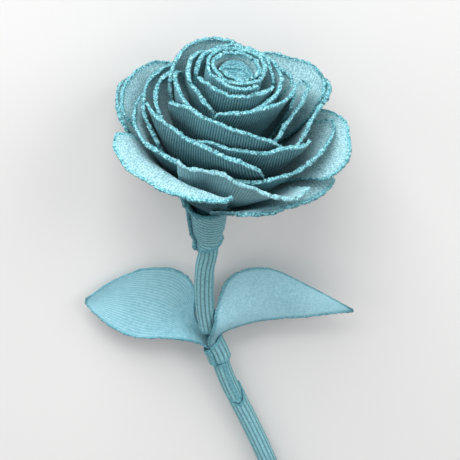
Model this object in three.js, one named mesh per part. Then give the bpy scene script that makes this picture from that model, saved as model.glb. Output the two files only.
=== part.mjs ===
// A handmade rose of heavy ribbed crepe paper, lying on a table.
// Its petals are cut one by one and glued round a wound core, each new one outside those before it.
// A bent rod carries the head. It is wrapped lengthwise in strips, with two leaves at a node.
// Everything is modelled upright, head up, and laid down at the end. Millimetres and degrees.
import * as THREE from 'three';

// The paper
const sheet = 0.6;
const gap = 0.3;
const layerPitch = sheet + gap;

// The stem
const rodRadius = 2.2;
const wrapLap = 55;
const stemLength = 205;
const rodIntoCore = 15;

// The head's tilt from the upright stem, to the right and towards the front
const headLean = 9;
const headNod = 8;

// The wound core inside the head
const coreRadius = 5.4;
const coreNeck = 3.2;
const coreTip = 4.2;
const coreTop = 56;
const coreBottom = -6;
const coreFoot = 5.4;

// The rolled bud
const budTurns = 2.3;
const budFoot = 38;
const budRim = 67;
const budFootRadius = 4.7;
const budInnerRadius = 5.4;
const budOuterRadius = 11.6;
const budBelly = 1.6;
const budStart = 200;

// The sleeve under the head, with its radius at its rim, its waist and its foot
const sleeveTop = 0.5;
const sleeveLength = 24;
const sleeveLap = 70;
const sleeveRim = 7.9;
const sleeveNeck = 6.9;
const sleeveWaist = 6.2;

// Where the strips round the stem meet, the leaves' feet and the wrap over them
const upperWrapTop = -13;
const upperWrapEnd = -71;
const nodeTop = -77.5;
const nodeBottom = -87;
const nodeSlant = 3;
const wrapJoint = -102;
const slant = 7;

// How the finished rose lies, on its two back petals and its stem's end
const layPitch = -77.32;
const layRoll = -4.3;
const layYaw = -0.97;

const colours = {
  petal: 0x6fb3ba,
  leaf: 0x86bccb,
  stem: 0x5d949b,
  core: 0x4f868d,
  rod: 0x3f6f76,
};

const degrees = Math.PI / 180;
const lerp = (a, b, t) => a + (b - a) * t;
const smooth = (t) => t * t * (3 - 2 * t);

function paper(colour, roughness = 0.95) {
  return new THREE.MeshStandardMaterial({ color: colour, roughness, metalness: 0, side: THREE.DoubleSide });
}

// A closed solid from its corner points and faces, turned so that its faces point out
function solid(name, points, faces, material) {
  let volume = 0;
  for (const [a, b, c] of faces) {
    volume += points[a].dot(new THREE.Vector3().crossVectors(points[b], points[c])) / 6;
  }
  const index = faces.flatMap(([a, b, c]) => (volume < 0 ? [a, c, b] : [a, b, c]));
  const geometry = new THREE.BufferGeometry().setFromPoints(points);
  geometry.setIndex(index);
  geometry.computeVertexNormals();
  const mesh = new THREE.Mesh(geometry, material);
  mesh.name = name;
  return mesh;
}

// The points of surface(s, t) on a net, with s and t from 0 to 1
function net(surface, columns, rows) {
  const grid = [];
  for (let j = 0; j <= rows; j++) {
    grid.push(Array.from({ length: columns + 1 }, (_, i) => surface(i / columns, j / rows)));
  }
  return grid;
}

// A sheet of paper whose middle surface passes through the points of a net
function sheetSolid(name, grid, material, thickness = sheet) {
  const rows = grid.length - 1;
  const columns = grid[0].length - 1;
  const points = [];
  for (const side of [-0.5, 0.5]) {
    for (let j = 0; j <= rows; j++) {
      for (let i = 0; i <= columns; i++) {
        const along = grid[Math.min(rows, j + 1)][i].clone().sub(grid[Math.max(0, j - 1)][i]);
        const across = grid[j][Math.min(columns, i + 1)].clone().sub(grid[j][Math.max(0, i - 1)]);
        points.push(grid[j][i].clone().addScaledVector(across.cross(along).normalize(), side * thickness));
      }
    }
  }
  const at = (side, i, j) => (side * (rows + 1) + j) * (columns + 1) + i;
  const faces = [];
  const quad = (a, b, c, d) => faces.push([a, b, c], [a, c, d]);
  for (let j = 0; j < rows; j++) {
    for (let i = 0; i < columns; i++) {
      quad(at(1, i, j), at(1, i + 1, j), at(1, i + 1, j + 1), at(1, i, j + 1));
      quad(at(0, i, j), at(0, i, j + 1), at(0, i + 1, j + 1), at(0, i + 1, j));
    }
  }
  for (let i = 0; i < columns; i++) {
    quad(at(1, i, 0), at(0, i, 0), at(0, i + 1, 0), at(1, i + 1, 0));
    quad(at(1, i, rows), at(1, i + 1, rows), at(0, i + 1, rows), at(0, i, rows));
  }
  for (let j = 0; j < rows; j++) {
    quad(at(1, 0, j), at(1, 0, j + 1), at(0, 0, j + 1), at(0, 0, j));
    quad(at(1, columns, j), at(0, columns, j), at(0, columns, j + 1), at(1, columns, j + 1));
  }
  return solid(name, points, faces, material);
}

// The core's outer radius at a height above the neck
function coreRadiusAt(height) {
  const profile = [[coreBottom, coreFoot], [0, coreFoot], [10, coreRadius], [budFoot - 2, coreNeck], [coreTop - 6, coreTip]];
  let radius = coreTip;
  for (let i = profile.length - 1; i > 0; i--) {
    const [low, below] = profile[i - 1];
    const [high, above] = profile[i];
    if (height <= high) radius = lerp(below, above, Math.max(0, (height - low) / (high - low)));
  }
  return radius;
}

// Petals, from the inside out. Each has the azimuth of its middle, with 0 to the right and 270 to the front,
// its greatest half width, the height of its glued foot, and its rim as [radius, height] at even steps from its left
// end to its right end. Cup is how far its lower and upper half belly out from a straight line, as a share of its
// length. Where a share is negative, the petal flares instead. A fan's sides run straight towards the axis.
const petals = [
  { azimuth: 268, half: 19, foot: 30, rim: [[13.6, 66.5], [14, 65.2], [13.8, 66.5]], cup: [0.08, 0.08] },
  { azimuth: 92, half: 20, foot: 30, rim: [[14.4, 64], [13.8, 65.5], [14.2, 64.5]], cup: [0.08, 0.08] },
  { azimuth: 178, half: 19, foot: 30, rim: [[17, 63], [17.2, 63], [17, 61]], cup: [0.08, 0.08] },
  { azimuth: 355, half: 19, foot: 30, rim: [[16.6, 63], [16.8, 63], [18.2, 63]], cup: [0.08, 0.08] },
  { azimuth: 310, half: 19, foot: 30, rim: [[19, 62], [18.8, 62], [24, 63]], cup: [0.08, 0.08] },
  { azimuth: 50, half: 21, foot: 20, rim: [[23, 57], [23, 57], [20, 58]], cup: [0.1, 0.1] },
  { azimuth: 207, half: 20, foot: 20, rim: [[22.4, 58], [20.8, 58], [20.8, 56]], cup: [0.1, 0.1] },
  { azimuth: 356, half: 16, foot: 20, rim: [[25, 55], [24.3, 52], [38, 52]], cup: [0.1, 0.1] },
  { azimuth: 115, half: 22, foot: 20, rim: [[24.8, 55.5], [25, 59.3], [24, 57]], cup: [0.12, 0.1] },
  { azimuth: 258, half: 23, foot: 20, rim: [[24.2, 57.5], [21.8, 57.6], [27, 50.5]], cup: [0.1, 0.1] },
  { azimuth: 65, half: 24, foot: 20, rim: [[43, 50], [43.2, 48.5], [36.5, 48], [33.5, 46.5], [32, 45]], cup: [0.12, 0.08] },
  { azimuth: 3, half: 20, foot: 10, rim: [[28.5, 47], [29.4, 46.5], [31.8, 47.5], [38.6, 48], [45, 49]], cup: [0.1, 0.1] },
  { azimuth: 288, half: 24, foot: 10, rim: [[23.6, 51], [24.8, 48.5], [32.5, 48]], cup: [-0.06, 0.1] },
  { azimuth: 175, half: 22, foot: 10, rim: [[26, 48.5], [27.2, 48], [25, 44]], cup: [-0.08, 0.12] },
  { azimuth: 237, half: 24, foot: 10, rim: [[32, 51], [25.2, 48.3], [31, 48.5]], cup: [-0.08, 0.1] },
  { azimuth: 160, half: 24, foot: 10, rim: [[29.5, 46], [31.5, 45.3], [28.5, 41]], cup: [0, 0.12] },
  { azimuth: 328, half: 26, foot: 10, rim: [[26, 38], [30.8, 37.5], [33.1, 37.5], [37.5, 38], [48, 41.5]], cup: [-0.04, 0.08] },
  { azimuth: 190, half: 19, foot: 10, rim: [[34, 40.5], [32, 37.5], [28, 40]], cup: [-0.14, -0.1] },
  { azimuth: 101, half: 22, foot: 10, rim: [[31.5, 42], [30, 42], [30, 42]], cup: [0.06, 0.06] },
  { azimuth: 146, half: 21, foot: 6, rim: [[37, 38], [40, 42], [42.5, 38.5]], cup: [0.12, -0.04], fan: true },
  { azimuth: 5, half: 20, foot: 6, rim: [[46, 30.5], [48, 34], [42, 36.5]], cup: [-0.1, -0.12], fan: true },
  { azimuth: 279, half: 21.5, foot: 6, rim: [[29, 42], [26.3, 39.5], [26.3, 38], [33, 33], [44.5, 34]], cup: [-0.12, -0.08], fan: true },
  { azimuth: 58, half: 24, foot: 6, rim: [[47, 31], [51, 31], [42, 32]], cup: [0.14, 0.08] },
  { azimuth: 228, half: 26, foot: 3, rim: [[43, 27.5], [37.8, 26.3], [30.3, 27], [27, 27], [26, 30]], cup: [-0.18, -0.24], fan: true },
  { azimuth: 311, half: 19.5, foot: 3, rim: [[28, 24.5], [27.5, 22], [31.5, 22], [37.5, 22], [52, 22.5]], cup: [-0.12, -0.18] },
  { azimuth: 133, half: 23, foot: 3, rim: [[42, 26], [51.5, 25], [41, 24]], cup: [0.12, 0.08] },
];
const footHalf = 5.5;
const cornerDrop = 0.13;
const petalColumns = 8;
const petalRows = 6;
const pressGap = 1.36;
const lookAround = [[0, 0], [-2.5, 0], [2.5, 0], [0, -1.5], [0, 1.5]];

// The petal's share of its greatest width, from its foot to its rim
function widthAt(half, v) {
  return lerp(footHalf, half, Math.sin((Math.PI / 2) * Math.min(1, v / 0.75)));
}

// The value, at u from -1 to 1, of the smooth curve through evenly spaced values
function through(values, u) {
  const place = ((u + 1) / 2) * (values.length - 1);
  const weight = (i) => values.reduce((product, _, k) => (k === i ? product : (product * (place - k)) / (i - k)), 1);
  return values.reduce((sum, value, i) => sum + value * weight(i), 0);
}

// Each petal is glued on top of the earlier ones that it overlaps, so its foot lies one layer further out
function stackPetals() {
  const stacked = [];
  for (const petal of petals) {
    const core = coreRadiusAt(petal.foot) + gap + sheet / 2;
    const reach = (radius) => Math.min(178, (footHalf / radius) / degrees + 8);
    let layer = 0;
    for (const other of stacked) {
      if (other.foot !== petal.foot) continue;
      const apart = Math.abs(((petal.azimuth - other.azimuth + 540) % 360) - 180);
      if (apart < 2 * reach(other.footRadius)) layer = Math.max(layer, other.layer + 1);
    }
    stacked.push({ ...petal, layer, footRadius: core + layer * layerPitch });
  }
  return stacked;
}

// A petal's middle surface as an angle, a radius and a height about the head's axis
function petalSurface(petal) {
  const { azimuth, half, foot, rim, cup, fan, footRadius } = petal;
  const meridian = (u, v) => {
    const top = [0, 1].map((k) => through(rim.map((point) => point[k]), u));
    const chord = [top[0] - footRadius, top[1] - foot];
    const belly = (share, out) => [
      footRadius + chord[0] * share + chord[1] * out,
      foot + chord[1] * share - chord[0] * out,
    ];
    const [a, b, c, d] = [[footRadius, foot], belly(1 / 3, cup[0]), belly(2 / 3, cup[1]), top];
    const w = 1 - v;
    return [0, 1].map((k) => w * w * w * a[k] + 3 * w * w * v * b[k] + 3 * w * v * v * c[k] + v * v * v * d[k]);
  };
  return (s, t) => {
    const u = 2 * s - 1;
    const v = t * (1 - cornerDrop * Math.abs(u) ** 4);
    const [radius, height] = meridian(u, v);
    const middle = meridian(0, v)[0];
    const width = fan ? (half * middle) / meridian(0, 1)[0] : widthAt(half, v);
    const angle = azimuth + (u * width) / middle / degrees;
    return { angle, radius, height };
  };
}

// The radius of a petal's net at an angle and a height, or 0 where the petal isn't
function radiusAt(grid, angle, height) {
  const centre = grid[0][(grid[0].length - 1) / 2].angle;
  const turned = centre + ((((angle - centre + 180) % 360) + 360) % 360) - 180;
  let radius = 0;
  const within = (a, b, c) => {
    const area = (b.angle - a.angle) * (c.height - a.height) - (c.angle - a.angle) * (b.height - a.height);
    const p = ((b.angle - turned) * (c.height - height) - (c.angle - turned) * (b.height - height)) / area;
    const q = ((c.angle - turned) * (a.height - height) - (a.angle - turned) * (c.height - height)) / area;
    if (p >= 0 && q >= 0 && p + q <= 1) {
      radius = Math.max(radius, p * a.radius + q * b.radius + (1 - p - q) * c.radius);
    }
  };
  for (let j = 1; j < grid.length; j++) {
    for (let i = 1; i < grid[0].length; i++) {
      within(grid[j - 1][i - 1], grid[j - 1][i], grid[j][i]);
      within(grid[j - 1][i - 1], grid[j][i], grid[j][i - 1]);
    }
  }
  return radius;
}

// Presses a petal outwards wherever it would pass through the bud or the petals already glued on inside it.
function pressOut(grid, placed) {
  const rows = grid.length - 1;
  const push = grid.map((line, j) => line.map(({ angle, radius, height }, i) => {
    const below = grid[Math.max(0, j - 1)][i];
    const above = grid[Math.min(rows, j + 1)][i];
    const rise = above.height - below.height;
    const steepness = Math.max(0.4, Math.abs(rise) / Math.hypot(rise, above.radius - below.radius));
    let needed = height > budFoot ? Math.max(radius, budReach(angle, height) + sheet + gap) : radius;
    const clear = j === 0 ? layerPitch + gap / 2 : pressGap / steepness;
    for (const other of placed) {
      for (const [around, up] of lookAround) {
        const inner = radiusAt(other, angle + around / radius / degrees, height + up);
        if (inner > 0) needed = Math.max(needed, inner + clear);
      }
    }
    return needed - radius;
  }));
  const shared = push.map((line, j) => line.map((own, i) => {
    const near = [push[j - 1]?.[i], push[j + 1]?.[i], line[i - 1], line[i + 1]].filter((p) => p !== undefined);
    return Math.max(own, 0.55 * Math.max(...near));
  }));
  return grid.map((line, j) => line.map((p, i) => ({ ...p, radius: p.radius + shared[j][i] })));
}

function fromAxis({ angle, radius, height }) {
  return new THREE.Vector3(radius * Math.cos(angle * degrees), radius * Math.sin(angle * degrees), height);
}

// The bud is a strip rolled up from its inner end
function budRadius(s, t) {
  const foot = budFootRadius + s * budTurns * layerPitch;
  return lerp(foot, lerp(budInnerRadius, budOuterRadius, s), t) + budBelly * Math.sin(Math.PI * t) * s;
}

function budSurface(s, t) {
  const angle = (budStart + 360 * s * budTurns) * degrees;
  const radius = budRadius(s, t);
  return new THREE.Vector3(radius * Math.cos(angle), radius * Math.sin(angle), lerp(budFoot, budRim, t));
}

// The radius of the bud's outermost turn at an angle and a height
function budReach(angle, height) {
  const back = ((((budStart + 360 * budTurns - angle) % 360) + 360) % 360) / 360;
  return budRadius(1 - back / budTurns, Math.min(1, (height - budFoot) / (budRim - budFoot)));
}

function core() {
  const bore = rodRadius + gap;
  const profile = [[0, coreTop], [coreTip * 0.75, coreTop - 1.8], [coreTip, coreTop - 6], [coreNeck, budFoot - 2],
    [coreRadius, 10], [coreFoot, 0], [coreFoot, coreBottom], [bore, coreBottom],
    [bore, coreBottom + rodIntoCore + gap], [0, coreBottom + rodIntoCore + gap]];
  const geometry = new THREE.LatheGeometry(profile.map(([x, y]) => new THREE.Vector2(x, y)).reverse(), 20);
  geometry.rotateX(Math.PI / 2);
  const mesh = new THREE.Mesh(geometry, paper(colours.core));
  mesh.name = 'flower_core';
  return mesh;
}

// The stem's middle line, from the head down, in the upright frame
const headTilt = new THREE.Euler(headNod * degrees, headLean * degrees, 0);
const headAxis = new THREE.Vector3(0, 0, 1).applyEuler(headTilt);
const stemLine = new THREE.CatmullRomCurve3([
  headAxis.clone().multiplyScalar(coreBottom + rodIntoCore),
  headAxis.clone().multiplyScalar(coreBottom),
  new THREE.Vector3(-1.2, 1.8, -14),
  new THREE.Vector3(-1, 2.4, -27),
  new THREE.Vector3(-2.5, 3, -36),
  new THREE.Vector3(-3.1, 4, -50),
  new THREE.Vector3(-2.6, 4.3, -61),
  new THREE.Vector3(-0.4, 4.2, -75),
  new THREE.Vector3(2.7, 3.8, -84),
  new THREE.Vector3(6, 3, -96),
  new THREE.Vector3(11.2, 1.6, -110),
  new THREE.Vector3(15.5, 0, -120),
  new THREE.Vector3(24, -4.2, -141),
  new THREE.Vector3(32, -8.5, -165),
  new THREE.Vector3(38, -12, -stemLength + 12),
], false, 'centripetal');
const wrapInner = rodRadius + gap;
const wrapOuter = wrapInner + sheet + layerPitch * (1 + wrapLap / 360);

// Two directions across the stem at a share of its line, to its right and to its back
function stemFrame(share) {
  const tangent = stemLine.getTangentAt(share);
  const side = new THREE.Vector3(1, 0, 0).addScaledVector(tangent, -tangent.x).normalize();
  return { point: stemLine.getPointAt(share), side, back: new THREE.Vector3().crossVectors(side, tangent).normalize() };
}

// The share of the stem's line at which it passes a height
function shareAt(height) {
  let [low, high] = [0, 1];
  for (let i = 0; i < 30; i++) {
    const middle = (low + high) / 2;
    if (stemLine.getPointAt(middle).z > height) low = middle;
    else high = middle;
  }
  return low;
}

// The point beside the stem at a height, an angle round it and a distance from its middle line
function besideStem(height, angle, radius) {
  const { point, side, back } = stemFrame(shareAt(height));
  const turn = angle * degrees;
  return point.addScaledVector(side, radius * Math.cos(turn)).addScaledVector(back, radius * Math.sin(turn));
}

// A strip wrapped round the stem from one height to another and lapped over itself. Its ends are cut on a slant,
// and highest at one angle round the stem.
function stemWrap(from, to, innerRadius, seam, lap, fromSlant = 0, toSlant = 0, highest = 110) {
  return (s, t) => {
    const angle = seam + s * (360 + lap);
    const tilt = Math.cos((angle - highest) * degrees);
    const height = lerp(from + fromSlant * tilt, to + toSlant * tilt, t);
    return besideStem(height, angle, innerRadius + sheet / 2 + (layerPitch * s * (360 + lap)) / 360);
  };
}

// The sleeve is a strip wrapped round the stem and the core's foot, wide at its rim
function sleeveSurface(s, t) {
  const angle = 185 + s * (360 + sleeveLap);
  const depth = t * (sleeveLength + 1.5 * Math.sin((angle - 120) * degrees));
  const foot = wrapOuter + gap + sheet / 2;
  const body = depth < 15
    ? lerp(sleeveNeck, sleeveWaist, depth / 15)
    : lerp(sleeveWaist, foot, smooth(Math.min(1, (depth - 15) / (sleeveLength - 18))));
  const flare = (sleeveRim - sleeveNeck) * Math.exp(-depth / 1.6);
  return besideStem(sleeveTop - depth, angle, body + flare + (layerPitch * s * (360 + sleeveLap)) / 360);
}

function stemRod() {
  const section = new THREE.Shape();
  section.absarc(0, 0, rodRadius, 0, 2 * Math.PI, false);
  const geometry = new THREE.ExtrudeGeometry(section, { steps: 30, curveSegments: 6, extrudePath: stemLine });
  const mesh = new THREE.Mesh(geometry, paper(colours.rod, 0.7));
  mesh.name = 'stem_rod';
  return mesh;
}

// Leaves as stations from foot to tip, each with its lower edge, its upper edge and how far it bulges between.
// Its foot hugs the rod between two angles round it, and leaves it at a height.
const leaves = {
  leaf_left: {
    hug: [222, 100],
    leaves: -79.5,
    stations: [
      [[-8.9, 0.6, -75.0], [-6.6, 7.0, -66.5], [-1.6, 2.0, -1.0]],
      [[-19.3, 1.4, -74.3], [-6.8, 11.5, -55.5], [-1.5, 2.2, -1.5]],
      [[-31.8, 1.6, -73.9], [-12.0, 14.2, -48.7], [0.0, 2.0, -1.5]],
      [[-41.3, 3.5, -70.1], [-26.5, 14.9, -47.2], [0.0, 1.5, -1.0]],
      [[-48.3, 6.0, -65.1], [-40.0, 12.8, -51.7], [0.0, 0.8, -0.5]],
      [[-52.4, 8.3, -60.9], [-51.9, 9.0, -58.6], [0.0, 0.0, 0.0]],
    ],
  },
  leaf_right: {
    hug: [330, 246],
    leaves: -75.5,
    stations: [
      [[5.0, 2.2, -71.0], [0.8, -1.6, -65.5], [0.6, -0.6, 0.0]],
      [[17.7, 4.7, -67.8], [2.6, 5.5, -57.0], [0.5, -2.0, 1.5]],
      [[28.0, 5.2, -66.4], [8.4, 13.0, -49.4], [0.0, -2.5, 2.5]],
      [[38.8, 5.6, -65.9], [22.0, 15.0, -47.0], [0.0, -2.5, 2.5]],
      [[50.0, 6.2, -64.7], [40.4, 11.5, -54.1], [0.0, -1.0, 1.0]],
      [[58.9, 6.7, -63.9], [58.4, 7.0, -62.6], [0.0, 0.0, 0.0]],
    ],
  },
};

function leafSurface({ hug, leaves: top, stations }) {
  const radius = rodRadius + gap + sheet / 2;
  return (s, t) => {
    const angle = lerp(hug[0], hug[1], s);
    const line = [besideStem(nodeBottom + 1.5, angle, radius), besideStem(top, angle, radius + gap)];
    for (const [low, high, bulge] of stations) {
      const point = new THREE.Vector3(...low).lerp(new THREE.Vector3(...high), s);
      line.push(point.addScaledVector(new THREE.Vector3(...bulge), Math.sin(Math.PI * s)));
    }
    return new THREE.CatmullRomCurve3(line, false, 'centripetal').getPoint(t);
  };
}

function buildRose() {
  const rose = new THREE.Group();
  const head = new THREE.Group();
  head.rotation.copy(headTilt);
  const petalPaper = paper(colours.petal);
  const stemPaper = paper(colours.stem);
  head.add(core());
  head.add(sheetSolid('bud_roll', net(budSurface, 36, 3), petalPaper));
  const placed = [];
  stackPetals().forEach((petal, i) => {
    const grid = pressOut(net(petalSurface(petal), petalColumns, petalRows), placed);
    placed.push(grid);
    const name = `petal_${String(i + 1).padStart(2, '0')}`;
    head.add(sheetSolid(name, grid.map((line) => line.map(fromAxis)), petalPaper));
  });
  rose.add(head);
  rose.add(stemRod());
  rose.add(sheetSolid('calyx_sleeve', net(sleeveSurface, 22, 6), stemPaper));
  const upperWrap = stemWrap(upperWrapTop, upperWrapEnd, wrapInner, 300, wrapLap);
  const middleWrap = stemWrap(nodeBottom - 0.5, wrapJoint, wrapInner, 250, wrapLap, 0, slant);
  const lowerWrap = stemWrap(wrapJoint - gap, -stemLength + 12.5, wrapInner, 330, wrapLap, slant, 0);
  const nodeWrap = stemWrap(nodeTop, nodeBottom, wrapInner + layerPitch + gap, 200, wrapLap, nodeSlant, 0, 0);
  rose.add(sheetSolid('stem_wrap_upper', net(upperWrap, 15, 8), stemPaper));
  rose.add(sheetSolid('stem_wrap_middle', net(middleWrap, 15, 4), stemPaper));
  rose.add(sheetSolid('stem_wrap_lower', net(lowerWrap, 15, 9), stemPaper));
  rose.add(sheetSolid('node_wrap', net(nodeWrap, 15, 3), stemPaper));
  for (const [name, leaf] of Object.entries(leaves)) {
    rose.add(sheetSolid(name, net(leafSurface(leaf), 7, 14), paper(colours.leaf)));
  }
  return rose;
}

// Lays the rose down on its back, head towards +Y, and centres it over the origin
function lay(rose) {
  rose.rotation.set(layPitch * degrees, layRoll * degrees, layYaw * degrees, 'ZYX');
  rose.updateMatrixWorld(true);
  const box = new THREE.Box3().setFromObject(rose, true);
  rose.position.set(-(box.min.x + box.max.x) / 2, -(box.min.y + box.max.y) / 2, -box.min.z);
  return rose;
}

export default lay(buildRose());
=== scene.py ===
# A handmade rose of heavy ribbed crepe paper, lying on its back on a pale table.
# Lengths are millimetres in the upright frame in which the rose was designed, until place() turns them
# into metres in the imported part's frame. Angles are degrees.
import math

import bpy
import numpy as np
from mathutils import Matrix, Vector


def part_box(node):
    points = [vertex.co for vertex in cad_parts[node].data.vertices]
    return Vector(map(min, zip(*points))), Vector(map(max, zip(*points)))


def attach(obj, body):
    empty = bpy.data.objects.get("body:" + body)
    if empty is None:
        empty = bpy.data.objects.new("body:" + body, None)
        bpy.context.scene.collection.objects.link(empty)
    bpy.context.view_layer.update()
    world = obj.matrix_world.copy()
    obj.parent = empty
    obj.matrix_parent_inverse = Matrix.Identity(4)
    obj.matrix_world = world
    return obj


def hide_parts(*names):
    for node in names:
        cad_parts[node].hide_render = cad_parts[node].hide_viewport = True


# The paper, as in the part
SHEET = 0.6
GAP = 0.3
LAYER = SHEET + GAP

# The paper's ribs: pitch, height, the share of it that the inner face shows and that a frayed edge loses,
# how deep the ribs' feet sink into the outer and the inner face, and where on each rib a sheet has points
RIB_PITCH = 0.95
RIB_HEIGHT = 0.36
INNER_RIB = 0.35
EDGE_RIB_LOSS = 0.6
OUTER_SINK = 0.5
INNER_SINK = 0.2
RIB_STATIONS = (0, 0.3, 0.7)

# The frayed edges: how much they swell and from how far in, how far they are pulled in and out, how many
# rows of points are pulled, and how uneven their thickness is
EDGE_SWELL = 1.15
SOFT_SWELL = 0.4
EDGE_REACH = 1.2
FAR_AWAY = 99.0
EDGE_RAGGED = 0.45
EDGE_PULL = (-1, 0.6)
EDGE_ROWS = 4
EDGE_LUMPS = (0.3, 1.5)
EDGE_MEAN = 0.9
EDGE_SWING = 0.28
SWING_LIMIT = 1.8
LUMP_SHARPNESS = 0.35

# The loose fibres: size, how their roots are spread over the edge, how they turn, and how they bend
FIBRES_PER_MM = 5.0
FEW_FIBRES_PER_MM = 3.0
FIBRE_LENGTH = 0.9
FIBRE_LENGTHS = (0.35, 1.0)
FIBRE_WIDTH = 0.09
FIBRE_WIDTHS = (0.6, 1.4)
FIBRE_TAPER = 0.7
FIBRE_SPREAD = 0.45
FIBRE_ROOT = 0.25
FIBRE_TILT = 0.8
FIBRE_SKEW = 1.0
FIBRE_BEND = 0.55
FIBRE_CURLS = (0.12, 0.45)
FIBRE_POINTS = 5
FIBRE_TRIANGLES = ((0, 1, 3), (0, 3, 2), (2, 3, 4))

# The stem
ROD_RADIUS = 2.2
WRAP_LAP = 55
STEM_LENGTH = 205
STEM_RISE = 12
ROD_BARE = 0.5
ROD_INTO_CORE = 15
STEM_RIB_PITCH = 1.6
STEM_SAMPLES = 2001

# The head's tilt
HEAD_LEAN = 9
HEAD_NOD = 8

# The core
CORE_RADIUS = 5.4
CORE_NECK = 3.2
CORE_TIP = 4.2
CORE_TOP = 56
CORE_BOTTOM = -6
CORE_FOOT = 5.4
CORE_SHOULDER = 10
NECK_BELOW_BUD = 2
TIP_BELOW_TOP = 6

# The bud
BUD_TURNS = 2.3
BUD_FOOT = 38
BUD_RIM = 67
BUD_FOOT_RADIUS = 4.7
BUD_INNER_RADIUS = 5.4
BUD_OUTER_RADIUS = 11.6
BUD_BELLY = 1.6
BUD_START = 200
BUD_WAVE = 0.35
BUD_RIM_WAVE = 0.45

# The bud's eye: a dished disc over the core with one fold of paper standing on it
EYE_RADIUS = 6.4
EYE_RIM = 6.7
EYE_HEIGHT = 61.8
EYE_DISH = 1.2
EYE_TILT = 1.2
EYE_CREASE = 0.3
# Painted shade over the eye's disc
EYE_PAINTED_SHADE = 0.16
EYE_HOLE = 0.02
EYE_COLUMNS = 73
EYE_ROWS = 14
FOLD_MIDDLE = 80
FOLD_SPAN = 170
FOLD_HEIGHT = 1.6
FOLD_NEAR = 0.42
FOLD_OPENING = 0.5
FOLD_BEND = 2.5
FOLD_LEAN = 0.4
FOLD_ROWS = 12

# The sleeve, with the lip at its front left
SLEEVE_TOP = 0.5
SLEEVE_LENGTH = 24
SLEEVE_LAP = 70
SLEEVE_RIM = 9.3
SLEEVE_NECK = 8.0
SLEEVE_WAIST = 6.2
SLEEVE_WAIST_DEPTH = 15
SLEEVE_HEM = 3
HEM_SLANT = 1.5
HEM_TURN = 120
SLEEVE_RIB_HEIGHT = 0.45
SLEEVE_RIB_SLANT = 11
SLEEVE_SEAM = 214
SLEEVE_COLUMNS = 121
SLEEVE_ROWS = 129
LIP_MIDDLE = 243
LIP_SPAN = 38
LIP_FLARE = 2.2
FLARE_DEPTH = 2.0

# Where the strips round the stem meet, how far their ends slant and at which angle the slant is highest,
# and where their seams lie
UPPER_WRAP_TOP = -13
UPPER_WRAP_END = -71
NODE_TOP = -77.5
NODE_BOTTOM = -87
NODE_TO_WRAP = 0.5
NODE_SLANT = 3
WRAP_JOINT = -102
SLANT = 7
SLANT_HIGHEST = 110
NODE_HIGHEST = 0
UPPER_SEAM = 300
MIDDLE_SEAM = 250
LOWER_SEAM = 330
NODE_SEAM = 200
STRIP_SWELL = 0.25

# How the rose lies
LAY_PITCH = -77.32
LAY_ROLL = -4.3
LAY_YAW = -0.97

# The camera, as seen from the upright rose: its distance, how far it looks down, millimetres per pixel
# at that distance, and the pixel in which the rose's neck shows
CAMERA_DISTANCE = 600
CAMERA_PITCH = 38
MM_PER_PIXEL = 0.386
NECK_PIXEL = (210, 198)
PICTURE = 460
SENSOR = 36

# The petals' feet and corners, and the net on which they are pressed clear of one another
FOOT_HALF = 5.5
FOOT_MARGIN = 8
WIDEST_REACH = 178
FULL_WIDTH_AT = 0.75
CORNER_DROP = 0.13
PETAL_COLUMNS = 8
PETAL_ROWS = 6
PRESS_GAP = 1.36
FLATTEST = 0.4
PUSH_SHARED = 0.55
LOOK_AROUND = [(0, 0), (-2.5, 0), (2.5, 0), (0, -1.5), (0, 1.5)]

# What only the dressed petals have: waves of the face and the rim, one petal cut shorter at its left end,
# and one with painted light, a paler tone laid on its paper
FACE_WAVE = 0.25
RIM_WAVE = 0.5
TRIMMED_PETAL = 25
TRIMMED_TO = 0.16
PAINTED_LIGHT_PETAL = 22
PAINTED_LIGHT_LEVEL = -0.6

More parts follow.
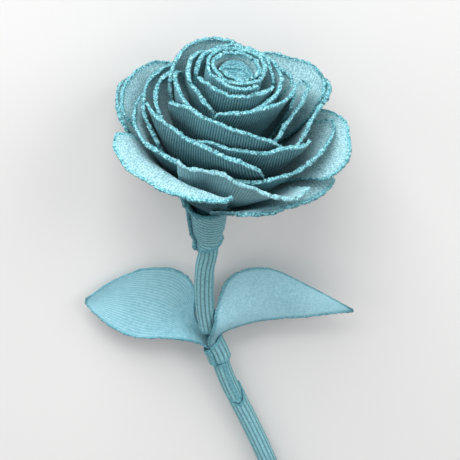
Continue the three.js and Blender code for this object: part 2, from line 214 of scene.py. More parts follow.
# azimuth, half width, foot height, rim as (radius, height) at even steps from its left to its right end,
# cup of its lower and upper half with how far it fades towards the left end, and whether its sides run
# straight towards the axis like a fan's
PETALS = [
    (268, 19, 30, [(13.6, 66.5), (14, 65.2), (13.8, 66.5)], (0.08, 0.08), False),
    (92, 20, 30, [(14.4, 64), (13.8, 65.5), (14.2, 64.5)], (0.08, 0.08), False),
    (178, 19, 30, [(17, 63), (17.2, 63), (17, 61)], (0.08, 0.08), False),
    (355, 19, 30, [(16.6, 63), (16.8, 63), (18.2, 63)], (0.08, 0.08), False),
    (310, 19, 30, [(19, 62), (18.8, 62), (24, 63)], (0.08, 0.08), False),
    (50, 21, 20, [(23, 57), (23, 57), (20, 58)], (0.1, 0.1), False),
    (207, 20, 20, [(22.4, 58), (20.8, 58), (20.8, 56)], (0.1, 0.1), False),
    (356, 16, 20, [(25, 55), (24.3, 52), (38, 52)], (0.1, 0.1), False),
    (115, 22, 20, [(24.8, 55.5), (25, 59.3), (24, 57)], (0.12, 0.1), False),
    (258, 23, 20, [(24.2, 57.5), (21.8, 57.6), (27, 50.5)], (0.1, 0.1), False),
    (65, 24, 20, [(43, 50), (43.2, 48.5), (36.5, 48), (33.5, 46.5), (32, 45)], (0.12, 0.08), False),
    (3, 20, 10, [(28.5, 47), (29.4, 46.5), (31.8, 47.5), (38.6, 48), (45, 49)], (0.1, 0.1), False),
    (288, 24, 10, [(23.6, 51), (24.8, 48.5), (32.5, 48)], (-0.06, 0.1), False),
    (175, 22, 10, [(26, 48.5), (27.2, 48), (25, 44)], (-0.08, 0.12), False),
    (237, 24, 10, [(32, 51), (25.2, 48.3), (31, 48.5)], (-0.08, 0.1), False),
    (160, 24, 10, [(29.5, 46), (31.5, 45.3), (28.5, 41)], (0, 0.12), False),
    (328, 26, 10, [(26, 38), (30.8, 37.5), (33.1, 37.5), (37.5, 38), (48, 41.5)], (-0.04, 0.08), False),
    (190, 19, 10, [(34, 40.5), (32, 37.5), (28, 40)], (-0.14, -0.1), False),
    (101, 22, 10, [(31.5, 42), (30, 42), (30, 42)], (0.06, 0.06), False),
    (146, 21, 6, [(37, 38), (40, 42), (42.5, 38.5)], (0.12, -0.04), True),
    (5, 20, 6, [(46, 30.5), (48, 34), (42, 36.5)], (-0.1, -0.12), True),
    (279, 21.5, 6, [(29, 42), (26.3, 39.5), (26.3, 38), (33, 33), (44.5, 34)], (-0.12, -0.08), True),
    (58, 24, 6, [(47, 31), (51, 31), (42, 32)], (0.14, 0.08), False),
    (228, 26, 10, [(43, 26.5), (37.8, 25), (30.3, 26.5), (27.5, 28), (26, 31)], (-0.4, -0.72, 0.55), True),
    (311, 19.5, 3, [(28, 24.5), (27.5, 22), (31.5, 22), (37.5, 22), (52, 22.5)], (-0.14, -0.2), False),
    (133, 23, 3, [(42, 26), (51.5, 25), (41, 24)], (0.12, 0.08), False),
]

# The leaves: width, where the foot starts, and the rows and columns of points, dressed and in the part
LEAF_WIDTH = 26
LEAF_FOOT_RISE = 1.5
LEAF_ROWS = 70
PART_LEAF_COLUMNS = 8
PART_LEAF_ROWS = 15

# Each leaf: the angles between which the foot hugs the rod, the height where it leaves the rod, and
# stations with the lower edge, the upper edge and the bulge between them
LEAVES = {
    "leaf_left": ((222, 100), -79.5, [
        ((-8.9, 0.6, -75.0), (-6.6, 7.0, -66.5), (-1.6, 2.0, -1.0)),
        ((-19.3, 1.4, -74.3), (-6.8, 11.5, -55.5), (-1.5, 2.2, -1.5)),
        ((-31.8, 1.6, -73.9), (-12.0, 14.2, -48.7), (0.0, 2.0, -1.5)),
        ((-41.3, 3.5, -70.1), (-26.5, 14.9, -47.2), (0.0, 1.5, -1.0)),
        ((-48.3, 6.0, -65.1), (-40.0, 12.8, -51.7), (0.0, 0.8, -0.5)),
        ((-52.4, 8.3, -60.9), (-51.9, 9.0, -58.6), (0.0, 0.0, 0.0)),
    ]),
    "leaf_right": ((330, 246), -75.5, [
        ((5.0, 2.2, -71.0), (0.8, -1.6, -65.5), (0.6, -0.6, 0.0)),
        ((17.7, 4.7, -67.8), (2.6, 5.5, -57.0), (0.5, -2.0, 1.5)),
        ((28.0, 5.2, -66.4), (8.4, 13.0, -49.4), (0.0, -2.5, 2.5)),
        ((38.8, 5.6, -65.9), (22.0, 15.0, -47.0), (0.0, -2.5, 2.5)),
        ((50.0, 6.2, -64.7), (40.4, 11.5, -54.1), (0.0, -1.0, 1.0)),
        ((58.9, 6.7, -63.9), (58.4, 7.0, -62.6), (0.0, 0.0, 0.0)),
    ]),
}

# Lengths that one texture unit spans, on a sheet and for the fibres' random places
UV_LENGTH = 100
FIBRE_UV = 20

# The soft random waves, and where the random numbers of repeated pieces start
WAVE_STEEPNESS = 5
WAVE_PHASES = 6.28
STRIP_SEED = 60
LEAF_SEED = 80
FACE_SEED = 100
RIM_SEED = 200
EDGE_SEED = 400

# The paper's grain: how often a metre each noise repeats, its detail and its roughness
FINE = (2400.0, 2.0, 0.7)
COARSE = (700.0, 3.0, 0.6)
CLOUD = (45.0, 2.0, 0.5)
LOOPS = (1450.0, 3.0, 0.8)
TUFTS = (1500.0, 3.0, 0.8)
GRAINS = (FINE, COARSE, CLOUD, LOOPS, TUFTS)

# Between which values each noise or attribute takes effect
FINE_FLECKS = (0.42, 0.66)
COARSE_FLECKS = (0.35, 0.62)
CLOUD_TONES = (0.3, 0.7)
COARSE_TONES = (0.3, 0.75)
LOOP_TONES = (0.4, 0.6)
MIDDLE_TUFTS = (0.39, 0.53)
PALE_TUFTS = (0.53, 0.68)
OUTER_BAND = (0.3, 0.85)
INNER_BAND = (0.02, 0.5)
# Painted light on one petal, and painted shade towards the depth of the flower
PAINTED_LIGHT_RAMP = (0.0, -1.0)
DEPTH_SHADE_RAMP = (0.0, 0.24)

# How strongly they show, and how dark the painted shade in the grooves and towards the depth of the flower is
GROOVE_SHADE_POWER = 0.8
RIDGE_HIGHLIGHT_POWER = 3.0
LOOPS_OUTSIDE = 0.12
LOOPS_MORE_INSIDE = 0.5
PAINTED_LIGHT_SHARE = 0.5
DEPTH_SHADE_SPARES_INSIDE = 0.85
GROOVE_SHADE_TONE = 0.14
DEPTH_SHADE_TONE = 0.25
BUMP = 0.55
BUMP_DEPTH = 0.0003
COARSE_BUMP = 0.8

# The floor's half width and the lights, in metres and watts, as they stand round the laid rose
FLOOR_REACH = 3.0
LIGHT_SIZE = 0.9
LIGHTS_AIM = (0, 0.05, 0.03)
LIGHTS = (("key", (-0.25, 1.15, 0.6), 18.5), ("left", (-1.15, 0.35, 0.6), 3), ("side", (0.95, 0.75, 0.85), 8))
SKY = (0.97, 0.98, 1.0, 1.0)
SKY_STRENGTH = 0.5

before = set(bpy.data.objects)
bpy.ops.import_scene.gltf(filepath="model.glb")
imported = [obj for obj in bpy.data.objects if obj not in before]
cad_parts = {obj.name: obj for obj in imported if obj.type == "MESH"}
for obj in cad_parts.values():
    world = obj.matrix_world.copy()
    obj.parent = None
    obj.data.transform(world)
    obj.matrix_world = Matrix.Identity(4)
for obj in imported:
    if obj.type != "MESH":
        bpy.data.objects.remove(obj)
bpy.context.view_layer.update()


def turn_x(degrees):
    c, s = math.cos(math.radians(degrees)), math.sin(math.radians(degrees))
    return np.array([[1, 0, 0], [0, c, -s], [0, s, c]])


def turn_y(degrees):
    c, s = math.cos(math.radians(degrees)), math.sin(math.radians(degrees))
    return np.array([[c, 0, s], [0, 1, 0], [-s, 0, c]])


def turn_z(degrees):
    c, s = math.cos(math.radians(degrees)), math.sin(math.radians(degrees))
    return np.array([[c, -s, 0], [s, c, 0], [0, 0, 1]])


HEAD = turn_x(HEAD_NOD) @ turn_y(HEAD_LEAN)
LAID = turn_z(LAY_YAW) @ turn_y(LAY_ROLL) @ turn_x(LAY_PITCH)


def unit(v):
    return v / np.maximum(np.linalg.norm(v, axis=-1, keepdims=True), 1e-9)


def net_normals(points):
    """The unit normals of a net of points, from each point's neighbours."""
    along = np.empty_like(points)
    along[1:-1] = points[2:] - points[:-2]
    along[0] = points[1] - points[0]
    along[-1] = points[-1] - points[-2]
    across = np.empty_like(points)
    across[:, 1:-1] = points[:, 2:] - points[:, :-2]
    across[:, 0] = points[:, 1] - points[:, 0]
    across[:, -1] = points[:, -1] - points[:, -2]
    return unit(np.cross(across, along))


def along_curve(points, t):
    """The place at a share t of the smooth curve through points, or of each of a row of such curves."""
    last = len(points) - 1
    spot = last * t
    k = min(int(math.floor(spot)), last - 1)
    w = spot - k
    p1, p2 = points[k], points[k + 1]
    p0 = points[k - 1] if k > 0 else 2 * p1 - p2
    p3 = points[k + 2] if k + 2 <= last else 2 * p2 - p1

    def knot(a, b):
        return np.maximum(((b - a) ** 2).sum(-1, keepdims=True) ** 0.25, 1e-4)

    d0, d1, d2 = knot(p0, p1), knot(p1, p2), knot(p2, p3)
    t1 = ((p1 - p0) / d0 - (p2 - p0) / (d0 + d1) + (p2 - p1) / d1) * d1
    t2 = ((p2 - p1) / d1 - (p3 - p1) / (d1 + d2) + (p3 - p2) / d2) * d1
    return p1 + t1 * w + (3 * (p2 - p1) - 2 * t1 - t2) * w**2 + (2 * (p1 - p2) + t1 + t2) * w**3


head_axis = HEAD @ np.array([0, 0, 1.0])
stem_points = np.array([
    head_axis * (CORE_BOTTOM + ROD_INTO_CORE),
    head_axis * CORE_BOTTOM,
    (-1.2, 1.8, -14),
    (-1, 2.4, -27),
    (-2.5, 3, -36),
    (-3.1, 4, -50),
    (-2.6, 4.3, -61),
    (-0.4, 4.2, -75),
    (2.7, 3.8, -84),
    (6, 3, -96),
    (11.2, 1.6, -110),
    (15.5, 0, -120),
    (24, -4.2, -141),
    (32, -8.5, -165),
    (38, -12, -STEM_LENGTH + STEM_RISE),
])
stem_line = np.array([along_curve(stem_points, t) for t in np.linspace(0, 1, STEM_SAMPLES)])
WRAP_INNER = ROD_RADIUS + GAP
WRAP_OUTER = WRAP_INNER + SHEET + LAYER * (1 + WRAP_LAP / 360)


def beside_stem(height, angle, radius):
    """Points beside the stem at heights, angles round it and distances from its middle line."""
    height, angle, radius = np.broadcast_arrays(height, angle, radius)
    z = -stem_line[:, 2]
    point = np.stack([np.interp(-height, z, stem_line[:, k]) for k in range(3)], -1)
    tangents = unit(np.gradient(stem_line, axis=0))
    tangent = unit(np.stack([np.interp(-height, z, tangents[:, k]) for k in range(3)], -1))
    side = unit(np.array([1.0, 0, 0]) - tangent * tangent[..., :1])
    back = unit(np.cross(side, tangent))
    turn = np.radians(angle)[..., None]
    return point + radius[..., None] * (side * np.cos(turn) + back * np.sin(turn))


def core_radius_at(height):
    """The wound core's radius, narrowest just below the bud."""
    profile = [(CORE_BOTTOM, CORE_FOOT), (0, CORE_FOOT), (CORE_SHOULDER, CORE_RADIUS),
               (BUD_FOOT - NECK_BELOW_BUD, CORE_NECK), (CORE_TOP - TIP_BELOW_TOP, CORE_TIP)]
    return float(np.interp(height, [p[0] for p in profile], [p[1] for p in profile]))


def width_at(half, v):
    """A petal's half width, which grows from its foot and is full at three quarters of its height."""
    return FOOT_HALF + (half - FOOT_HALF) * np.sin((math.pi / 2) * np.minimum(1, v / FULL_WIDTH_AT))


def through(values, u):
    """The value, at u from -1 to 1, of the smooth curve through evenly spaced values."""
    spot = (u + 1) / 2 * (len(values) - 1)
    total = 0 * u
    for i, value in enumerate(values):
        weight = 1 + 0 * u
        for k in range(len(values)):
            if k != i:
                weight = weight * (spot - k) / (i - k)
        total = total + value * weight
    return total


def stack_petals():
    """Each petal's foot lies one layer further out than the feet that it overlaps."""
    stacked = []
    for azimuth, half, foot, rim, cup, fan in PETALS:
        radius = core_radius_at(foot) + GAP + SHEET / 2
        layer = 0
        for other in stacked:
            reach = min(WIDEST_REACH, math.degrees(FOOT_HALF / other["foot_radius"]) + FOOT_MARGIN)
            apart = abs(((azimuth - other["azimuth"] + 540) % 360) - 180)
            if other["foot"] == foot and apart < 2 * reach:
                layer = max(layer, other["layer"] + 1)
        stacked.append({"azimuth": azimuth, "half": half, "foot": foot, "rim": rim, "cup": cup, "fan": fan,
                        "layer": layer, "foot_radius": radius + layer * LAYER})
    return stacked


def petal_surface(petal, s, t):
    """The petal's middle surface as angle, radius and height about the head's axis."""
    r0, z0 = petal["foot_radius"], petal["foot"]

    def meridian(u, v):
        r3 = through([point[0] for point in petal["rim"]], u)
        z3 = through([point[1] for point in petal["rim"]], u)
        dr, dz = r3 - r0, z3 - z0
        low, high, *fade = petal["cup"]
        if fade:
            kept = 1 - fade[0] * np.maximum(0, -u) ** 1.5
            low, high = low * kept, high * kept
        r1, z1 = r0 + dr / 3 + dz * low, z0 + dz / 3 - dr * low
        r2, z2 = r0 + dr * 2 / 3 + dz * high, z0 + dz * 2 / 3 - dr * high
        w = 1 - v
        share = (w**3, 3 * w * w * v, 3 * w * v * v, v**3)
        return (share[0] * r0 + share[1] * r1 + share[2] * r2 + share[3] * r3,
                share[0] * z0 + share[1] * z1 + share[2] * z2 + share[3] * z3)

    u = 2 * s - 1
    v = t * (1 - CORNER_DROP * np.abs(u) ** 4)
    radius, height = meridian(u, v)
    middle_radius = meridian(0 * u, v)[0]
    if petal["fan"]:
        width = petal["half"] * middle_radius / meridian(0 * u, 1 + 0 * v)[0]
    else:
        width = width_at(petal["half"], v)
    angle = petal["azimuth"] + np.degrees(u * width / middle_radius)
    return np.stack([angle, radius, height], -1)


def radius_at(grid, angle, height):
    """The radius of a petal's net at an angle and a height, or 0 where the petal isn't."""
    centre = grid[0, PETAL_COLUMNS // 2, 0]
    turned = centre + (angle - centre + 180) % 360 - 180
    if not (grid[..., 0].min() <= turned <= grid[..., 0].max()):
        return 0.0
    if not (grid[..., 2].min() <= height <= grid[..., 2].max()):
        return 0.0

    def twice_area(ax, ay, bx, by):
        return ax * by - bx * ay

    corners = (grid[:-1, :-1], grid[:-1, 1:], grid[1:, 1:], grid[1:, :-1])
    best = 0.0
    for a, b, c in ((corners[0], corners[1], corners[2]), (corners[0], corners[2], corners[3])):
        ax, ay = a[..., 0] - turned, a[..., 2] - height
        bx, by = b[..., 0] - turned, b[..., 2] - height
        cx, cy = c[..., 0] - turned, c[..., 2] - height
        ab, ac = b - a, c - a
        area = twice_area(ab[..., 0], ab[..., 2], ac[..., 0], ac[..., 2])
        p, q = twice_area(bx, by, cx, cy) / area, twice_area(cx, cy, ax, ay) / area
        hit = (p >= 0) & (q >= 0) & (p + q <= 1)
        if hit.any():
            radius = p * a[..., 1] + q * b[..., 1] + (1 - p - q) * c[..., 1]
            best = max(best, float(radius[hit].max()))
    return best


def bud_radius(s, t):
    """The rolled strip's radius at a share s of its length and a share t of its height."""
    foot = BUD_FOOT_RADIUS + s * BUD_TURNS * LAYER
    rim = BUD_INNER_RADIUS + (BUD_OUTER_RADIUS - BUD_INNER_RADIUS) * s
    return foot + (rim - foot) * t + BUD_BELLY * np.sin(math.pi * t) * s


def bud_reach(angle, height):
    """The radius of the bud's outermost turn at an angle and a height."""
    back = (BUD_START + 360 * BUD_TURNS - angle) % 360 / 360
    return bud_radius(1 - back / BUD_TURNS, min(1, (height - BUD_FOOT) / (BUD_RIM - BUD_FOOT)))


def press_out(grid, placed):
    """How far each point of a petal's net is pressed outwards by the bud and the petals inside it."""
    rows, columns = grid.shape[:2]
    push = np.zeros((rows, columns))
    for j in range(rows):
        for i in range(columns):
            angle, radius, height = grid[j, i]
            below, above = grid[max(0, j - 1), i], grid[min(rows - 1, j + 1), i]
            rise = above[2] - below[2]
            steepness = max(FLATTEST, abs(rise) / math.hypot(rise, above[1] - below[1]))
            clear = LAYER + GAP / 2 if j == 0 else PRESS_GAP / steepness
            needed = radius
            if height > BUD_FOOT:
                needed = max(radius, bud_reach(angle, height) + LAYER)
            for other in placed:
                for around, up in LOOK_AROUND:
                    inner = radius_at(other, angle + math.degrees(around / radius), height + up)
                    if inner > 0:
                        needed = max(needed, inner + clear)
            push[j, i] = needed - radius
    shared = push.copy()
    for j in range(rows):
        for i in range(columns):
            near = [push[b, a] for b, a in ((j - 1, i), (j + 1, i), (j, i - 1), (j, i + 1))
                    if 0 <= b < rows and 0 <= a < columns]
            shared[j, i] = max(push[j, i], PUSH_SHARED * max(near))
    return shared


def spread(values, s, t):
    """Smooth values of a coarse net at finer shares s and t of it, as a cubic B-spline."""
    rows, columns = values.shape[0] - 1, values.shape[1] - 1

    def weigh(x, count):
        k = np.clip(np.floor(x * count).astype(int), 0, count - 1)
        w = x * count - k
        shares = ((1 - w) ** 3, 3 * w**3 - 6 * w**2 + 4, -3 * w**3 + 3 * w**2 + 3 * w + 1, w**3)
        return [(np.clip(k + step, 0, count), share / 6) for step, share in zip((-1, 0, 1, 2), shares)]

    total = 0
    for j, down in weigh(t, rows):
        for i, across in weigh(s, columns):
            total = total + values[j, i] * down * across
    return total


def from_axis(net):
    """Points from their angles, radii and heights about the tilted head's axis."""
    angle, radius, height = np.radians(net[..., 0]), net[..., 1], net[..., 2]
    return np.stack([radius * np.cos(angle), radius * np.sin(angle), height], -1) @ HEAD.T


def leaf_net(leaf, s, t):
    """A leaf's middle surface, from its foot on the rod to its tip."""
    (from_angle, to_angle), leave, stations = LEAVES[leaf]
    radius = ROD_RADIUS + GAP + SHEET / 2
    angle = from_angle + (to_angle - from_angle) * s
    line = [beside_stem(NODE_BOTTOM + LEAF_FOOT_RISE, angle, radius), beside_stem(leave, angle, radius + GAP)]
    for low, high, bulge in stations:
        low, high, bulge = (np.array(p) for p in (low, high, bulge))
        line.append(low + (high - low) * s[:, None] + bulge * np.sin(math.pi * s)[:, None])
    stack = np.stack(line)
    return np.stack([along_curve(stack, share) for share in t])


def packed_place():
    """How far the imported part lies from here: its left leaf's lowest corner against the same corner here."""
    net = leaf_net("leaf_left", np.linspace(0, 1, PART_LEAF_COLUMNS), np.linspace(0, 1, PART_LEAF_ROWS))
    half_sheet = net_normals(net) * SHEET / 2
    faces = np.concatenate([net - half_sheet, net + half_sheet])
    return np.array(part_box("leaf_left")[0]) * 1000 - (faces.reshape(-1, 3) @ LAID.T).min(0)


SHIFT = packed_place()


def place(points):
    """Points of the upright design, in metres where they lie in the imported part's frame."""
    return (points @ LAID.T + SHIFT) / 1000


def wavy(s, t, count, seed):
    """A smooth random field over a piece, about -1 to 1."""
    rng = np.random.default_rng(seed)
    total = np.zeros(np.broadcast(s, t).shape)
    for _ in range(count):
        a, b = rng.normal(0, WAVE_STEEPNESS, 2)
        total = total + np.sin(a * s + b * t + rng.uniform(0, WAVE_PHASES))
    return total / math.sqrt(count)


def lumps(rng, rows, columns, low, high):
    """Soft random lumps about three columns wide."""
    field = rng.uniform(low, high, (rows, columns))
    soft = (field + np.roll(field, 1, 1) + np.roll(field, 2, 1)) / 3
    return soft + (field - (low + high) / 2) * LUMP_SHARPNESS


# At each side of a net: the last points, the ones next to them, the band that is pulled, and the axis that
# the last points lack
ENDS = {
    "l": (np.s_[:, 0], np.s_[:, 1], np.s_[:, :EDGE_ROWS], 1),
    "r": (np.s_[:, -1], np.s_[:, -2], np.s_[:, -EDGE_ROWS:], 1),
    "t": (np.s_[-1], np.s_[-2], np.s_[-EDGE_ROWS:], 0),
    "b": (np.s_[0], np.s_[1], np.s_[:EDGE_ROWS], 0),
}


def ragged(points, edges, edge, rng):
    """Small pulls in and out of the cut edges, in the plane of the sheet."""
    rows, columns = edge.shape
    pull = lumps(rng, rows, columns, *EDGE_PULL) * EDGE_RAGGED * edge**2
    out = np.zeros_like(points)
    for side, (last, nearby, band, axis) in ENDS.items():
        if side in edges:
            out[band] += np.expand_dims(unit(points[last] - points[nearby]), axis)
    return out * pull[..., None]


def measured(points, edges):
    """How far each point lies along its row and its column, and from the nearest frayed edge."""
    rows, columns = points.shape[:2]
    steps_across = np.linalg.norm(np.diff(points, axis=1), axis=2)
    steps_along = np.linalg.norm(np.diff(points, axis=0), axis=2)
    across = np.concatenate([np.zeros((rows, 1)), np.cumsum(steps_across, 1)], 1)
    along = np.concatenate([np.zeros((1, columns)), np.cumsum(steps_along, 0)], 0)
    from_edge = {"l": across, "r": across[:, -1:] - across, "b": along, "t": along[-1:] - along}
    far = np.full((rows, columns), FAR_AWAY)
    for side in edges:
        far = np.minimum(far, from_edge[side])
    return across, along, far


def thickness(edge, swell, seed, rng):
    """The sheet's thickness, which swells unevenly towards the frayed edges."""
    rows, columns = edge.shape
    s, t = np.linspace(0, 1, columns)[None, :], np.linspace(0, 1, rows)[:, None]
    swing = np.clip(wavy(4 * s, 2 * t, 5, EDGE_SEED + seed), -SWING_LIMIT, SWING_LIMIT)
    return SHEET + swell * edge * (EDGE_MEAN + EDGE_SWING * swing) * lumps(rng, rows, columns, *EDGE_LUMPS)


def closed_faces(rows, columns):
    """The faces of an outer net, of an inner net that follows it, and of the rim between them."""
    count = rows * columns
    index = np.arange(count).reshape(rows, columns)
    corners = (index[:-1, :-1], index[:-1, 1:], index[1:, 1:], index[1:, :-1])
    a, b, c, d = (corner.ravel() for corner in corners)
    ring = np.concatenate([index[0, :-1], index[:-1, -1], index[-1, :0:-1], index[:0:-1, 0]])
    following = np.roll(ring, -1)
    return np.concatenate([
        np.stack([a, b, c, d], 1),
        np.stack([a, d, c, b], 1) + count,
        np.stack([following, ring, ring + count, following + count], 1),
    ])


def sheet_piece(name, points, material, rib_phase, edges="lrt", seed=1, swell=EDGE_SWELL,
                rib_height=RIB_HEIGHT, fibres=FIBRES_PER_MM, painted_shading=0.0):
    """A sheet of ribbed paper over a net of points, with thick frayed edges.
    rib_phase counts the ribs over the net, as a row or a column. edges names the frayed ones: left, right,
    top and bottom. The last argument is painted shade by how far a point lies below the flower's surface, from
    0 to 1, and below 0 it is painted light."""
    rows, columns = points.shape[:2]
    count = rows * columns
    rng = np.random.default_rng(seed)
    normals = net_normals(points)
    across, along, far = measured(points, edges)
    edge = np.exp(-((far / EDGE_REACH) ** 2))
    thick = thickness(edge, swell, seed, rng)
    points = points + ragged(points, edges, edge, rng)
    phase = rib_phase + 0 * far
    rib = np.abs(np.sin(math.pi * phase)) * rib_height * (1 - EDGE_RIB_LOSS * edge)
    outer = points + normals * (thick / 2 + rib - rib_height * OUTER_SINK)[..., None]
    inner = points - normals * (thick / 2 + rib * INNER_RIB - rib_height * INNER_SINK)[..., None]
    fibre_verts, fibre_faces = fray(points, normals, thick, edges, fibres, rng)
    loose = len(fibre_verts)
    verts = np.concatenate([outer.reshape(-1, 3), inner.reshape(-1, 3), fibre_verts])
    faces = closed_faces(rows, columns).tolist() + (fibre_faces + 2 * count).tolist()
    values = {
        "side": np.concatenate([np.zeros(count), np.ones(count), np.full(loose, 0.5)]),
        "edge": np.concatenate([np.tile(edge.ravel(), 2), np.ones(loose)]),
        "rib": np.concatenate([np.tile(phase.ravel(), 2), np.zeros(loose)]),
        "painted_shading": np.concatenate([np.tile((painted_shading + 0 * far).ravel(), 2), np.zeros(loose)]),
    }
    flat = np.stack([across.ravel(), along.ravel()], 1)
    uv = np.concatenate([flat, flat, rng.uniform(0, FIBRE_UV, (loose, 2))])
    return add_piece(name, verts, faces, values, uv / UV_LENGTH, material)


def add_piece(name, verts, faces, values, uv, material):
    """One object, laid on the table, with a value of each kind at each point."""
    mesh = bpy.data.meshes.new(name)
    laid = place(verts)
    laid[:, 2] = np.maximum(laid[:, 2], 0)
    mesh.from_pydata(laid.tolist(), [], faces)
    for label, numbers in values.items():
        layer = mesh.attributes.new(label, "FLOAT", "POINT")
        layer.data.foreach_set("value", numbers.astype(np.float32))
    uv_layer = mesh.uv_layers.new(name="UVMap")
    loops = np.zeros(len(mesh.loops), int)
    mesh.loops.foreach_get("vertex_index", loops)
    uv_layer.data.foreach_set("uv", uv[loops].astype(np.float32).ravel())
    mesh.polygons.foreach_set("use_smooth", np.ones(len(mesh.polygons), bool))
    mesh.materials.append(material)
    mesh.update()
    piece = bpy.data.objects.new(name, mesh)
    bpy.context.scene.collection.objects.link(piece)
    return piece


def fray(points, normals, thick, edges, per_mm, rng):
    """Loose fibres along the frayed edges, each a short bent sliver."""
    all_verts, all_faces = [np.zeros((0, 3))], [np.zeros((0, 3), int)]
    start = 0
    for side, (last, nearby, _, _) in ENDS.items():
        if side not in edges:
            continue
        line = points[last]
        lengths = np.concatenate([[0], np.cumsum(np.linalg.norm(np.diff(line, axis=0), axis=1))])
        count = int(lengths[-1] * per_mm)
        where = rng.uniform(0, lengths[-1], count)

        def pick(values):
            return np.stack([np.interp(where, lengths, values[:, k]) for k in range(3)], -1)

        outward, up = unit(pick(line - points[nearby])), unit(pick(normals[last]))
        forward = unit(np.cross(outward, up))
        rise = np.interp(where, lengths, thick[last]) * rng.uniform(-FIBRE_SPREAD, FIBRE_SPREAD, count)
        root = pick(line) + up * rise[:, None] - outward * FIBRE_ROOT
        tilt = rng.normal(0, FIBRE_TILT, (count, 1))
        aim = unit(outward + up * tilt + forward * rng.normal(0, FIBRE_SKEW, (count, 1)))
        reach = FIBRE_LENGTH * rng.uniform(*FIBRE_LENGTHS, (count, 1))
        curl = unit(rng.normal(0, 1, (count, 3)))
        width = unit(np.cross(aim, curl)) * FIBRE_WIDTH * rng.uniform(*FIBRE_WIDTHS, (count, 1))
        middle = root + aim * reach * FIBRE_BEND + curl * reach * FIBRE_CURLS[0]
        taper = width * FIBRE_TAPER
        tip = root + aim * reach + curl * reach * FIBRE_CURLS[1]
        verts = np.stack([root - width, root + width, middle - taper, middle + taper, tip], 1)
        k = start + np.arange(count)[:, None] * FIBRE_POINTS
        all_verts.append(verts.reshape(-1, 3))
        all_faces.append(np.concatenate([k + np.array([triangle]) for triangle in FIBRE_TRIANGLES]))
        start += count * FIBRE_POINTS
    return np.concatenate(all_verts), np.concatenate(all_faces)


class Nodes:
    """A material's node tree, with one short method for each kind of node."""

    def __init__(self, name):
        self.material = bpy.data.materials.new(name)
        self.material.use_nodes = True
        self.tree = self.material.node_tree
        self.shader = self.tree.nodes["Principled BSDF"]

    def link(self, a, b):
        self.tree.links.new(a, b)

    def fill(self, value, socket):
        """A number or a colour is set on the socket, and anything else is linked to it."""
        if isinstance(value, (int, float, tuple)):
            socket.default_value = value
        else:
            self.link(value, socket)

    def math(self, operation, a, b=0.0):
        node = self.tree.nodes.new("ShaderNodeMath")
        node.operation = operation
        self.fill(a, node.inputs[0])
        self.fill(b, node.inputs[1])
        return node.outputs[0]

    def times(self, a, b):
        return self.math("MULTIPLY", a, b)

    def without(self, value, share=1.0):
        """1 less a share of the value."""
        return self.math("SUBTRACT", 1.0, self.times(value, share) if share != 1.0 else value)

    def mix(self, share, a, b):
        node = self.tree.nodes.new("ShaderNodeMix")
        node.data_type = "RGBA"
        for value, socket in ((share, node.inputs[0]), (a, node.inputs[6]), (b, node.inputs[7])):
            self.fill(value, socket)
        return node.outputs[2]

    def attribute(self, name):
        node = self.tree.nodes.new("ShaderNodeAttribute")
        node.attribute_name = name
        return node.outputs["Fac"]

    def noise(self, place_on, scale, detail, roughness):
        node = self.tree.nodes.new("ShaderNodeTexNoise")
        node.inputs["Scale"].default_value = scale
        node.inputs["Detail"].default_value = detail
        node.inputs["Roughness"].default_value = roughness
        self.link(place_on, node.inputs["Vector"])
        return node.outputs["Fac"]

    def ramp(self, value, low, high):
        node = self.tree.nodes.new("ShaderNodeMapRange")
        self.link(value, node.inputs["Value"])
        node.inputs["From Min"].default_value = low
        node.inputs["From Max"].default_value = high
        return node.outputs["Result"]

    def surface(self, **settings):
        for name, value in settings.items():
            self.fill(value, self.shader.inputs[name.replace("_", " ")])


def rgb(red, green, blue):
    """A colour given as it looks on screen, 0 to 255, for a shader."""
    linear = (((c / 255 + 0.055) / 1.055) ** 2.4 if c > 10 else c / 3294.6 for c in (red, green, blue))
    return tuple(linear) + (1.0,)


def darker(colour, share):
    """A share of a colour."""
    return tuple(c * share for c in colour[:3]) + (1.0,)


PALE_CUT = (rgb(38, 106, 120), rgb(122, 194, 204), rgb(204, 239, 243))
DARK_CUT = (rgb(30, 96, 110), rgb(76, 150, 164), rgb(150, 208, 217))
# Painted highlight on the ribs' ridges
RIDGE_HIGHLIGHT = rgb(134, 180, 192)
FLOOR_COLOUR = rgb(225, 224, 223)


